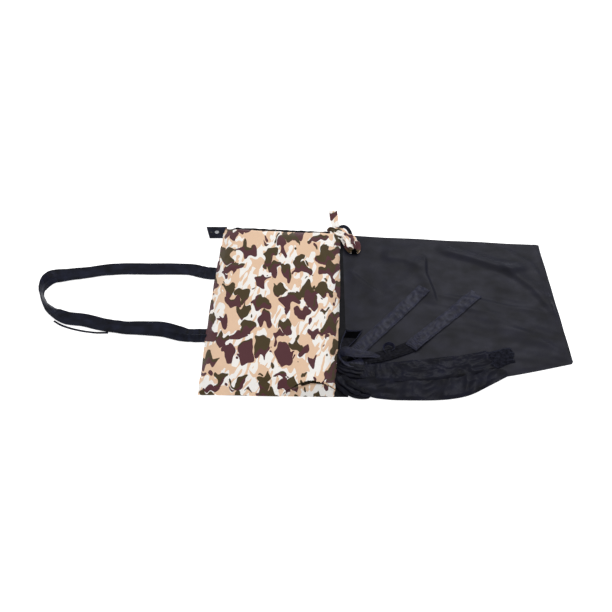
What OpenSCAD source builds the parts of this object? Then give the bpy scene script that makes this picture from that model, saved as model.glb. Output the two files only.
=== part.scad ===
/* [Panel] */
// Width of the camouflage panel across its middle
panel_w = 306; // [280:1:330]
// Length of the panel from its near edge to its far edge
panel_l = 524; // [490:1:540]
// Height of the padded panel above the floor
panel_h = 28; // [18:1:36]
// How far the near end is moved left of the far end
panel_skew = 26; // [0:1:40]
// Thickness of the face cloth
face_t = 1.2; // [0.8:0.1:2]
// Thickness of the back lining
lining_t = 2; // [1.2:0.1:3]

/* [Straps] */
// Width of the neck strap
neck_w = 38; // [30:1:45]
// Thickness of the neck strap, two plies stitched together
neck_t = 2.6; // [1.6:0.1:4]
// Width of the two ties
tie_w = 33; // [25:1:40]
// Thickness of the ties
tie_t = 2; // [1.2:0.1:3]

/* [Snap tab] */
// Thickness of the tab's webbing
tab_t = 3; // [2:0.1:4]
// Radius of the eyelet's hole
eyelet_r = 2.5; // [2:0.1:4]
// Radius of the eyelet's flange
eyelet_flange_r = 5.5; // [5:0.1:8]
// Radius of the snap stud's cap
stud_r = 3.4; // [2.5:0.1:5]

/* [Leg cloth] */
// Thickness of the leg cloth
cloth_t = 2; // [1.2:0.1:3]
// Length of the leg cloth along its far hem
cloth_l = 508; // [460:1:560]

/* [Sash] */
// Width of the sash's gathered waistband
sash_w = 58; // [50:1:60]
// Thickness of the gathered waistband
sash_t = 6; // [3:0.5:9]

/* [Hidden] */
$fn = 48;

gap = 0.3;          // clearance where two moving pieces meet
fold_x = 170;       // the line along which the leg cloth folds up
neck_fold_x = -176; // the line along which the neck strap folds up
tab_fold_x = -144;  // the line along which the snap tab folds up

// The panel's four corners, from the far left one clockwise
half_l = panel_l / 2;
far_left = [-panel_w / 2 + panel_skew / 2 + 3, half_l + 6];
far_right = [panel_w / 2 + panel_skew / 2 - 1, half_l - 12];
near_right = [panel_w / 2 - panel_skew / 2 - 1, -half_l];
near_left = [-panel_w / 2 - panel_skew / 2 + 1, -half_l + 3];

// The eyelet and the stud stand on the tab's middle line
eyelet_at = [-159, 258];
stud_at = [-174, 258];
barrel_r = eyelet_r + 1;

// ---- helpers ----

// A point on the panel: u runs left to right, v near to far, the sides bulge a little
function panel_xy(u, v) =
    let (left = near_left * (1 - v) + far_left * v,
         right = near_right * (1 - v) + far_right * v,
         bulge = 4 * v * (1 - v))
    left * (1 - u) + right * u + [(2 * u - 1) * 6 * bulge, 0];

// Where the lining's left edge is at a given y
function left_x(y) = near_left[0]
    + (far_left[0] - near_left[0]) * (y - near_left[1]) / (far_left[1] - near_left[1]);

// Quarter ellipse from 0 at the seam to 1 at distance w
function shoulder(t, w) = t >= w ? 1 : sqrt(1 - pow(1 - max(t, 0) / w, 2));

// Height of the padded top, 0 along the seam
function pillow(u, v) =
    shoulder(v, 0.06) * shoulder(1 - v, 0.2)
    * shoulder(u, 0.24) * shoulder(1 - u, 0.2);

// Evenly spaced, with more lines close to the two ends
function spread(i, n) = (1 - cos(180 * i / n)) / 2;

function grid_points(nu, nv, inset, high) =
    [for (j = [0:nv]) for (i = [0:nu])
        let (u = spread(i, nu), v = spread(j, nv),
             su = inset / panel_w, sv = inset / panel_l,
             p = panel_xy(su + u * (1 - 2 * su), sv + v * (1 - 2 * sv)))
        [p[0], p[1], lining_t + high * pillow(u, v)]];

// Two triangles per cell, seen from above or, turned, from below. The cell's diagonal
// runs into the grid's nearest corner, so that no triangle lies flat there.
function grid_faces(nu, nv, start, turned) =
    [for (j = [0:nv - 1]) for (i = [0:nu - 1]) for (k = [0, 1])
        let (a = start + j * (nu + 1) + i, b = a + 1, c = a + nu + 1, d = c + 1,
             rising = (2 * i < nu) == (2 * j < nv),
             first = rising ? [a, c, d] : [a, c, b],
             second = rising ? [a, d, b] : [b, c, d],
             t = k == 0 ? first : second)
        turned ? [t[0], t[2], t[1]] : t];

// Index of each point round the grid's border, anticlockwise from above
function border(nu, nv) = concat(
    [for (i = [0:nu - 1]) i],
    [for (j = [0:nv - 1]) j * (nu + 1) + nu],
    [for (i = [nu:-1:1]) nv * (nu + 1) + i],
    [for (j = [nv:-1:1]) j * (nu + 1)]);

// Catmull-Rom curve through the rows of a list, with n steps between two rows
function curve_row(p, i, t) =
    let (last = len(p) - 1, a = p[max(i - 1, 0)], b = p[i],
         c = p[min(i + 1, last)], d = p[min(i + 2, last)])
    0.5 * (2 * b + (c - a) * t + (2 * a - 5 * b + 4 * c - d) * t * t
        + (3 * b - a - 3 * c + d) * t * t * t);
function smooth_route(p, n) = concat(
    [for (i = [0:len(p) - 2]) for (k = [0:n - 1]) curve_row(p, i, k / n)],
    [p[len(p) - 1]]);

function unit(v) = v / norm(v);

// A ring of four corners across a flat band. A row is [x, y, lift, width, bank]:
// lift is the height of its lowest edge, bank turns it from flat (0) to on edge (90).
function band_ring(p, i, thick) =
    let (last = len(p) - 1,
         a = p[max(i - 1, 0)], b = p[min(i + 1, last)],
         along = unit([b[0] - a[0], b[1] - a[1]]),
         side = [-along[1], along[0], 0], row = p[i],
         across = side * cos(row[4]) + [0, 0, sin(row[4])],
         up = [0, 0, cos(row[4])] - side * sin(row[4]),
         half = row[3] / 2, h = thick / 2,
         mid = [row[0], row[1],
             row[2] + half * abs(sin(row[4])) + h * abs(cos(row[4]))])
    [mid - across * half - up * h, mid + across * half - up * h,
     mid + across * half + up * h, mid - across * half + up * h];

// The stretch of a route between two of its rows, or all of it
module band(rows, thick, steps = 3, from = 0, to = -1) {
    route = smooth_route(rows, steps);
    first = from * steps;
    last = (to < 0 ? len(rows) - 1 : to) * steps;
    n = last - first + 1;
    points = [for (i = [first:last]) each band_ring(route, i, thick)];
    walls = [for (i = [0:n - 2]) for (k = [0:3]) for (m = [0, 1])
        let (a = 4 * i + k, b = 4 * i + (k + 1) % 4, c = a + 4, d = b + 4)
        m == 0 ? [a, c, b] : [b, c, d]];
    ends = [[0, 1, 2], [0, 2, 3],
        [4 * n - 4, 4 * n - 2, 4 * n - 3], [4 * n - 4, 4 * n - 1, 4 * n - 2]];
    polyhedron(points, concat(walls, ends), convexity = 8);
}

// A rounded rope of gathered cloth. A row is [x, y, lift, width, height].
module rope(rows, steps = 3, sides = 10) {
    route = smooth_route(rows, steps);
    n = len(route);
    points = [for (i = [0:n - 1])
        let (a = route[max(i - 1, 0)], b = route[min(i + 1, n - 1)], row = route[i],
             along = unit([b[0] - a[0], b[1] - a[1]]), side = [-along[1], along[0]])
        for (k = [0:sides - 1])
            let (w = cos(360 * k / sides) * row[3] / 2,
                 z = row[2] + row[4] / 2 * (1 + sin(360 * k / sides)))
            [row[0] + side[0] * w, row[1] + side[1] * w, z]];
    walls = [for (i = [0:n - 2]) for (k = [0:sides - 1]) for (m = [0, 1])
        let (a = sides * i + k, b = sides * i + (k + 1) % sides,
             c = a + sides, d = b + sides)
        m == 0 ? [a, c, b] : [b, c, d]];
    first = [for (k = [1:sides - 2]) [0, k, k + 1]];
    top = sides * (n - 1);
    last = [for (k = [1:sides - 2]) [top, top + k + 1, top + k]];
    polyhedron(points, concat(walls, first, last), convexity = 8);
}

// A flat piece of cloth or webbing
module slab(outline, low, thick) {
    translate([0, 0, low]) linear_extrude(thick) polygon(outline);
}

// ---- hand-chosen routes, rows as the modules above say ----

neck_route = [[-176.3, 120, 0, 40, 0], [-184, 120, 0, 39, 0],
    [-192, 120, 0, 39, 0], [-208, 125, 0, neck_w, 0],
    [-240, 128, 0, neck_w, 0], [-300, 128, 0, neck_w, 0], [-376, 129, 0, neck_w, 0],
    [-430, 125, 0, neck_w, 0], [-480, 115, 0, neck_w, 0], [-520, 106, 0, neck_w, -6],
    [-548, 97, 0, neck_w, -16], [-562, 88, 0, 36, -40], [-572, 70, 0, 34, -62],
    [-576, 48, 0, 34, -72], [-572, 24, 0, 34, -72], [-560, 2, 0, 34, -60],
    [-544, -14, 0, 34, -36], [-526, -23, 0, 36, -14], [-500, -33, 0, neck_w, 0],
    [-457, -40, 0, neck_w, 0], [-411, -53, 0, neck_w, 0], [-366, -62, 0, neck_w, 0],
    [-308, -67, 0, neck_w, 12], [-265, -73, 0, neck_w, 22], [-225, -84, 0, neck_w, 14],
    [-204, -86, 0, neck_w, 0], [-190, -86, 0, 39, 0], [-176.3, -86, 0, 40, 0]];
neck_bend_rows = [10, 17]; // where the bend starts and ends in that list
loose_tape_route = [[-530, -48, 0, 8, 0], [-505, -60, 0, 8, 0], [-478, -68, 0, 8, 0],
    [-448, -74, 0, 8, 0], [-425, -77, 0, 8, 0],
    [-400, -80, 0, 8, 0]];
tie_a_route = [[207, -119, 0, tie_w, 0], [247, -76, 0, tie_w, 0], [291, -27, 0, tie_w, 0],
    [330, 17, 0, tie_w, 0], [369, 60, 0, tie_w, 0]];
tie_b_under_route = [[246, -151, 0, 28, 0], [270, -143, 0, 29, 0], [296, -132, 0, 30, 0],
    [327, -118, 0, 32, 0]];
tie_b_top_route = [[322, -122, 0, tie_w, 0], [340, -103, 0, tie_w, 0],
    [376, -70, 0, tie_w, 0], [419, -30, 0, tie_w, 0], [456, 5, 0, tie_w, 0],
    [497, 45, 0, tie_w, 0]];
waistband_route = [[240, -194, 0, sash_w - 12, 0], [300, -193, 0, sash_w - 2, 0],
    [361, -188, 0, sash_w + 2, 0], [408, -180, 0, sash_w, 0], [450, -173, 0, sash_w - 2, 0],
    [500, -160, 0, sash_w - 6, 0]];
camo_bow_route = [[193, 220, 0, 20, 10], [200, 213, 0, 26, 15], [207, 204, 0, 28, 17],
    [211, 194, 0, 26, 16], [212, 184, 0, 20, 12]];

// ---- the panel ----

face_cells = [26, 34];

module panel_face() {
    nu = face_cells[0];
    nv = face_cells[1];
    count = (nu + 1) * (nv + 1);
    rim = border(nu, nv);
    edges = len(rim);
    outer = grid_points(nu, nv, 0, panel_h - lining_t);
    inner = grid_points(nu, nv, face_t, panel_h - lining_t - face_t);
    closing = [for (k = [0:edges - 1]) for (m = [0, 1])
        let (a = rim[k], b = rim[(k + 1) % edges])
        m == 0 ? [a, b, a + count] : [b, b + count, a + count]];
    color("tan")
        polyhedron(concat(outer, inner),
            concat(grid_faces(nu, nv, 0, false), grid_faces(nu, nv, count, true), closing),
            convexity = 6);
}

module panel_padding() {
    nu = face_cells[0];
    nv = face_cells[1];
    inset = face_t + 0.3;
    loft = panel_h - lining_t - inset;
    color("whitesmoke")
        polyhedron(concat(grid_points(nu, nv, inset, loft), grid_points(nu, nv, inset, 0)),
            concat(grid_faces(nu, nv, 0, false),
                grid_faces(nu, nv, (nu + 1) * (nv + 1), true)), convexity = 6);
}

// The lining runs on to the fold line, where the leg cloth is sewn to it
module back_lining() {
    color("black")
        slab([near_left, far_left, far_left + [22, 5], far_right + [-30, 5],
            [fold_x, far_right[1] - 2], [fold_x, near_right[1]], near_right], 0, lining_t);
}

// ---- the neck strap ----

// The strap's two ends are sewn to the lining's left edge
module neck_root(y) {
    low = y - 20;
    high = y + 20;
    color("midnightblue")
        slab([[left_x(low), low], [left_x(high), high], [neck_fold_x, high],
            [neck_fold_x, low]], 0, lining_t);
}

module neck_root_upper() {
    neck_root(neck_route[0][1]);
}

module neck_root_lower() {
    neck_root(neck_route[len(neck_route) - 1][1]);
}

module neck_strap_upper() {
    color("midnightblue") band(neck_route, neck_t, 3, 0, neck_bend_rows[0]);
}

module neck_strap_bend() {
    color("midnightblue") band(neck_route, neck_t, 3, neck_bend_rows[0], neck_bend_rows[1]);
}

module neck_strap_lower() {
    color("midnightblue") band(neck_route, neck_t, 3, neck_bend_rows[1]);
}

module neck_loose_tape() {
    color("black") band(loose_tape_route, 1.4, 3);
}

// ---- the snap tab ----

tab_outline = [[-188, 279], [-177, 239], [tab_fold_x - gap, 239], [tab_fold_x - gap, 279]];

module snap_tab() {
    color("black")
        difference() {
            slab(tab_outline, 0, tab_t);
            translate([eyelet_at[0], eyelet_at[1], -1]) cylinder(r = barrel_r, h = tab_t + 2);
            translate([stud_at[0], stud_at[1], -1]) cylinder(r = 1.2, h = tab_t + 2);
            translate([eyelet_at[0], eyelet_at[1], -1])
                cylinder(r = eyelet_flange_r, h = 1.6);
            translate([stud_at[0], stud_at[1], -1]) cylinder(r = stud_r, h = 1.6);
        }
}

module tab_root() {
    color("black")
        slab([[tab_fold_x, 239], [left_x(239), 239], far_left, [far_left[0], 279],
            [tab_fold_x, 279]], 0, lining_t);
}

module eyelet_barrel() {
    color("dimgray")
        translate([eyelet_at[0], eyelet_at[1], 0]) {
            difference() {
                union() {
                    translate([0, 0, 0.6]) cylinder(r = barrel_r, h = tab_t);
                    translate([0, 0, tab_t]) cylinder(r = eyelet_flange_r, h = 0.9);
                }
                translate([0, 0, -1]) cylinder(r = eyelet_r, h = tab_t + 4);
            }
        }
}

module eyelet_washer() {
    color("dimgray")
        translate([eyelet_at[0], eyelet_at[1], 0])
            difference() {
                cylinder(r = eyelet_flange_r, h = 0.6);
                translate([0, 0, -1]) cylinder(r = eyelet_r, h = 3);
            }
}

module snap_stud() {
    color("gray")
        translate([stud_at[0], stud_at[1], tab_t])
            rotate_extrude()
                polygon([[0, 0], [stud_r, 0], [stud_r, 0.5], [stud_r - 0.7, 1],
                    [1.8, 1.2], [1.8, 1.6], [0, 1.6]]);
}

module snap_post() {
    color("gray")
        translate([stud_at[0], stud_at[1], 0])
            union() {
                cylinder(r = stud_r, h = 0.6);
                translate([0, 0, 0.6]) cylinder(r = 1.2, h = tab_t - 0.6);
            }
}

// ---- the leg cloth ----

cloth_left = fold_x + gap;
cloth_far_y = far_right[1] - 5;
cloth_end = fold_x + cloth_l;
cloth_outline = [[cloth_left, cloth_far_y], [cloth_end, 218], [cloth_end + 4, 198],
    [cloth_end + 18, -174], [540, -204], [cloth_left, near_right[1]]];

module leg_cloth() {
    color("darkslategray") slab(cloth_outline, 0, cloth_t);
}

// Turned hems lie on the cloth's edges
module hem_far() {
    color("black")
        slab([[cloth_left + 60, cloth_far_y - 2.5], [cloth_end - 2, 218],
            [cloth_end - 2, 209], [cloth_left + 60, cloth_far_y - 11.5]], cloth_t, 0.8);
}

module hem_end() {
    color("black")
        slab([[cloth_end - 1, 208], [cloth_end + 3, 196], [cloth_end + 17, -173],
            [cloth_end + 8, -173], [cloth_end - 6, 196]], cloth_t, 0.8);
}

// Tape over the seam that crosses the cloth half way down
module seam_tape() {
    color("black")
        slab([[384, 221], [380, 176], [392, 96], [397, 96], [385, 176], [389, 221]],
            cloth_t, 0.7);
}

// ---- the ties ----

top = cloth_t + gap; // the level that everything on the leg cloth lies at

module tie_a_root() {
    color("midnightblue")
        translate([0, 0, top]) band([[186, -142, 0, tie_w - 5, 0], [206.6, -119.4, 0, tie_w, 0]],
            tie_t, 2);
}

module tie_a() {
    color("midnightblue") translate([0, 0, top]) band(tie_a_route, tie_t, 2);
}

module tie_b_root() {
    color("midnightblue")
        translate([0, 0, top])
            band([[184, -163, 2.6, 20, 0], [206, -160, 2.6, 24, 0], [222, -157, 1, 26, 0],
                [234, -154.6, 0, 27, 0], [245.6, -151.2, 0, 28, 0]], tie_t, 2);
}

module tie_b_under() {
    color("midnightblue") translate([0, 0, top]) band(tie_b_under_route, tie_t, 2);
}

// The tie turns over at the fold, so its upper run lies on the lower one
module tie_b_top() {
    color("midnightblue")
        translate([0, 0, top + tie_t + gap]) band(tie_b_top_route, tie_t, 2);
}

module short_loop() {
    color("black")
        slab([[173, -128], [173, -82], [178, -76], [208, -78], [209, -86], [193, -106],
            [179, -125]], top, 5);
}

module curled_loop() {
    color("midnightblue")
        translate([0, 0, top])
            band([[270, -120, 0, 9, 0], [278, -108, 0, 9, 0], [290, -104, 0, 9, 0]], 4, 3);
}

// ---- the sash ----

module sash_root() {
    color("midnightblue")
        translate([0, 0, top])
            rope([[184, -192, 0, 24, 8], [206, -190, 0, 33, 9], [235.6, -194, 0, 45, 8]], 3, 12);
}

module sash_knot() {
    color("midnightblue")
        translate([0, 0, top])
            rope([[180, -232, 0, 16, 9], [192, -240, 0, 28, 15], [208, -250, 0, 32, 17],
                [222, -252, 0, 26, 13], [234, -250, 0, 16, 8]], 3, 12);
}

module sash_waistband() {
    color("midnightblue") translate([0, 0, top]) band(waistband_route, sash_t, 2);
}

// The smooth lower band, with the curve of its lower edge
module sash_lower_band() {
    color("midnightblue")
        slab([[240, -221], [300, -224], [361, -221], [408, -213], [450, -205], [506, -190],
            [534, -186], [540, -204], [512, -216], [480, -238], [440, -258], [400, -267],
            [354, -271], [300, -270], [240, -267]], top, 3);
}

module sash_end_patch() {
    color("black")
        slab([[508, -180], [497, -136], [520, -131], [552, -122], [560, -138], [548, -148],
            [558, -166], [530, -172]], top, 4);
}

// ---- the camouflage closing tie ----

panel_corner_z = lining_t + 0.4;

module camo_bundle() {
    color("burlywood")
        translate([0, 0, panel_corner_z])
            rope([[168, 250, 0, 6, 6], [163, 256, 0, 14, 9], [153, 260, 0, 18, 11],
                [141, 263, 0, 12, 8]], 3, 10);
}

module camo_tail_root() {
    color("burlywood")
        translate([0, 0, 0.2]) band([[155, 271, 0, 18, 0], [153, 280, 0, 18, 0]], 3, 2);
}

module camo_tail() {
    color("burlywood")
        band([[152.9, 280.4, 0.2, 18, 0], [150, 294, 0.2, 18, 0], [148, 310, 0.2, 19, 0],
            [146, 329, 0.2, 19, 0]], 3, 3);
}

module camo_keeper_loop() {
    color("black")
        slab([[120, 256], [137, 253], [137, 256], [120, 259]], lining_t, 3);
}

module camo_knot() {
    color("burlywood")
        translate([0, 0, top])
            rope([[178, 244, 0, 10, 7], [184, 238, 0, 20, 13], [180, 230, 0, 12, 8]], 3, 10);
}

module camo_bow_loop() {
    color("burlywood") translate([0, 0, top]) rope(camo_bow_route, 3, 10);
}

panel_face();
panel_padding();
back_lining();
neck_root_upper();
neck_root_lower();
neck_strap_upper();
neck_strap_bend();
neck_strap_lower();
neck_loose_tape();
tab_root();
snap_tab();
eyelet_barrel();
eyelet_washer();
snap_stud();
snap_post();
leg_cloth();
hem_far();
hem_end();
seam_tape();
tie_a_root();
tie_a();
tie_b_root();
tie_b_under();
tie_b_top();
short_loop();
curled_loop();
sash_root();
sash_knot();
sash_waistband();
sash_lower_band();
sash_end_patch();
camo_bundle();
camo_keeper_loop();
camo_knot();
camo_bow_loop();
camo_tail();
camo_tail_root();
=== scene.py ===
import math
import bpy
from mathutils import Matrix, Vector, noise


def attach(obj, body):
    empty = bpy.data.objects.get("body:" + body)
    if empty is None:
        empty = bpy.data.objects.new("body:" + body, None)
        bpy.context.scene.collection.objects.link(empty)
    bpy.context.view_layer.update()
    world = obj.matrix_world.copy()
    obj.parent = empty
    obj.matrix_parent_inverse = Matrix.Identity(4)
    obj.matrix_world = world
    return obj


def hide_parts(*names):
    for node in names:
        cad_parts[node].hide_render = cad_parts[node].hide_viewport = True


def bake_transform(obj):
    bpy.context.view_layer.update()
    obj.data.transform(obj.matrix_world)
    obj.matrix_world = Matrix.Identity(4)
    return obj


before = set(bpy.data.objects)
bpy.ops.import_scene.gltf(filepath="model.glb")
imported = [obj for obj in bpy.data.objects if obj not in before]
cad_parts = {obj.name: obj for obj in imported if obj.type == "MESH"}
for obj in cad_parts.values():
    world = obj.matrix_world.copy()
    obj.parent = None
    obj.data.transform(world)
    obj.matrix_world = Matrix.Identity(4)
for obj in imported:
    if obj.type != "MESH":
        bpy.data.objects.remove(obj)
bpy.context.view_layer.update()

mm = 0.001

# ---- camera, light and floor

view = {
    "place": (0.075, -1.410, 1.690),    # the eyes of someone standing by it
    "tilt": 40,                         # degrees up from straight down
    "lens": 52.94,
    "skyTop": "#FFFFFF",
    "skyLow": "#6E737E",
    "skyStrength": 0.96,
    "softBox": 8.5,                     # watts
    "boxSize": (1.1, 0.8),
    "boxPlace": (0.85, 1.35, 1.5),
    "boxAim": (-0.65, -1.35, -1.5),
    "floor": "#F7F7F7",
    "floorGlow": 0.7,
}


def linear(code):
    # sRGB hex to the linear colour that a shader wants
    parts = [int(code[i:i + 2], 16) / 255 for i in (1, 3, 5)]
    return tuple(c / 12.92 if c <= 0.04045 else ((c + 0.055) / 1.055) ** 2.4 for c in parts) + (1.0,)


def addNode(tree, kind, inputs=None, **settings):
    # one node with its settings; an input takes a value or another node's output
    node = tree.nodes.new("ShaderNode" + kind)
    for name, value in settings.items():
        setattr(node, name, value)
    for socket, value in (inputs or {}).items():
        if isinstance(value, bpy.types.NodeSocket):
            tree.links.new(value, node.inputs[socket])
        else:
            node.inputs[socket].default_value = value
    return node


def makeCamera():
    data = bpy.data.cameras.new("camera")
    data.lens = view["lens"]
    camera = bpy.data.objects.new("camera", data)
    camera.location = view["place"]
    camera.rotation_euler = (math.radians(view["tilt"]), 0, 0)
    bpy.context.scene.collection.objects.link(camera)
    bpy.context.scene.camera = camera


def makeSky():
    # a white studio room: brightest overhead, greyer towards the walls
    world = bpy.data.worlds.new("studio")
    world.use_nodes = True
    bpy.context.scene.world = world
    tree = world.node_tree
    tree.nodes.clear()
    coords = addNode(tree, "TexCoord")
    split = addNode(tree, "SeparateXYZ", {0: coords.outputs["Generated"]})
    ramp = addNode(tree, "ValToRGB", {0: split.outputs["Z"]})
    ramp.color_ramp.elements[0].color = linear(view["skyLow"])
    ramp.color_ramp.elements[1].color = linear(view["skyTop"])
    ramp.color_ramp.elements[1].position = 0.8
    # seen directly, the room is as pale as its floor
    direct = addNode(tree, "LightPath").outputs["Is Camera Ray"]
    shown = addNode(tree, "Mix", {0: direct, 6: ramp.outputs[0], 7: linear(view["floor"])}, data_type="RGBA")
    shade = addNode(tree, "Background", {"Color": shown.outputs[2], "Strength": view["skyStrength"]})
    addNode(tree, "OutputWorld", {"Surface": shade.outputs[0]})


def makeSoftBox():
    # one wide soft light, high behind the object and to its right
    data = bpy.data.lights.new("softBox", "AREA")
    data.shape = "RECTANGLE"
    data.size, data.size_y = view["boxSize"]
    data.energy = view["softBox"]
    box = bpy.data.objects.new("softBox", data)
    box.location = view["boxPlace"]
    box.rotation_euler = Vector(view["boxAim"]).to_track_quat("-Z", "Y").to_euler()
    bpy.context.scene.collection.objects.link(box)


def makeFloor():
    # a plain white floor, a hair below the object
    bpy.ops.object.select_all(action="DESELECT")
    bpy.ops.mesh.primitive_plane_add(size=12, location=(0, 0, -0.0004))
    floor = bpy.context.object
    floor.name = "floor"
    paint = bpy.data.materials.new("matte white card")
    paint.use_nodes = True
    shader = paint.node_tree.nodes["Principled BSDF"]
    shader.inputs["Base Color"].default_value = linear(view["floor"])
    shader.inputs["Roughness"].default_value = 0.9
    shader.inputs["Specular IOR Level"].default_value = 0.1
    shader.inputs["Emission Color"].default_value = (1, 1, 1, 1)
    shader.inputs["Emission Strength"].default_value = view["floorGlow"]
    floor.data.materials.append(paint)


makeCamera()
makeSky()
makeSoftBox()
makeFloor()
bpy.context.scene.view_settings.view_transform = "Standard"
print("studio ready")

# ---- materials

printCloth = {
    "cream": "#FFFBF5",
    "peach": "#F0CCAC",
    "olive": "#493B20",
    "maroon": "#572F34",
    "blob": (46, 56, 50),       # spacing of the blobs across and along the cloth, mm
    "blobSize": 0.41,           # usual radius of a blob, in that spacing
    "wander": 0.8,              # how far a blob's outline strays, in that spacing
    "edgeWander": 0.17,         # how far that radius changes round a blob
    "sizes": (-0.12, 0.08),     # smallest and largest change from blob to blob
    "split": (-0.38, 0.52),     # height of the line between olive and maroon
    "peachLevel": 0.525,        # higher leaves more cream
    "streakLevel": 0.60,
    "drop": 0.28,               # largest radius of a drop
    "finger": 17,               # width of a finger along a blob's edge, mm
    "reach": 0.25,              # how far the fingers reach, in that spacing
}


def startMaterial(name, roughness, specular):
    paint = bpy.data.materials.new(name)
    paint.use_nodes = True
    shader = paint.node_tree.nodes["Principled BSDF"]
    shader.inputs["Roughness"].default_value = roughness
    shader.inputs["Specular IOR Level"].default_value = specular
    return paint, paint.node_tree, shader


def scaled(tree, where, size):
    # the point in lengths of size, a triple in mm
    return addNode(tree, "Mapping", {"Vector": where, "Scale": [1 / (s * mm) for s in size]}).outputs[0]


def weave(tree, shader, where, thread, depth, twill=0.0):
    # crossed threads as bump; twill slants them
    lines = []
    for turn in (twill, twill + math.pi / 2):
        turned = addNode(tree, "Mapping", {"Vector": where, "Rotation": (0, 0, turn)}).outputs[0]
        count = math.pi / (10 * thread * mm)
        wave = addNode(tree, "TexWave", {"Vector": turned, "Scale": count, "Distortion": 0.6},
                       wave_type="BANDS", bands_direction="X")
        lines.append(wave.outputs["Fac"])
    both = addNode(tree, "Math", {0: lines[0], 1: lines[1]}, operation="MULTIPLY").outputs[0]
    bump = addNode(tree, "Bump", {"Height": both, "Strength": 1.0, "Distance": depth * mm})
    tree.links.new(bump.outputs[0], shader.inputs["Normal"])


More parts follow.
